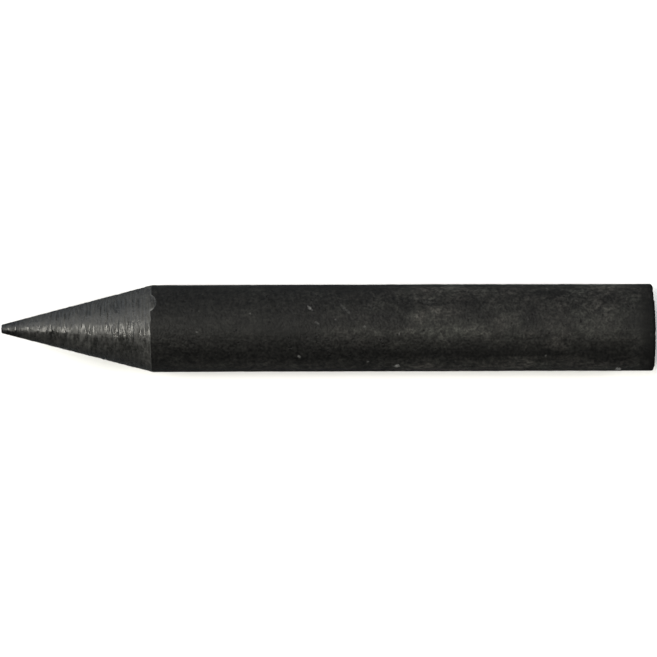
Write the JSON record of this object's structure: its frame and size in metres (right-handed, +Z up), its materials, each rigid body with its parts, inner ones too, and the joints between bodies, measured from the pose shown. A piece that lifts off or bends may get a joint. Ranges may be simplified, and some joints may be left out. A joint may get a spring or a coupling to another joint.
{
  "type": "charcoal stick",
  "caption": "Round stick of black drawing charcoal with a long sharpened cone, a worn blunt tip and a square-cut butt.",
  "frame": {"origin": "below the middle of the stick, on the plane that it lies on", "axes": "+X along the stick towards the square butt, so the tip points to -X; +Z up"},
  "size_m": [0.075, 0.01, 0.01],
  "materials": {
    "charcoal": "matte"
  },
  "bodies": {
    "root": {"charcoal_stick": "charcoal"}
  },
  "joints": []
}
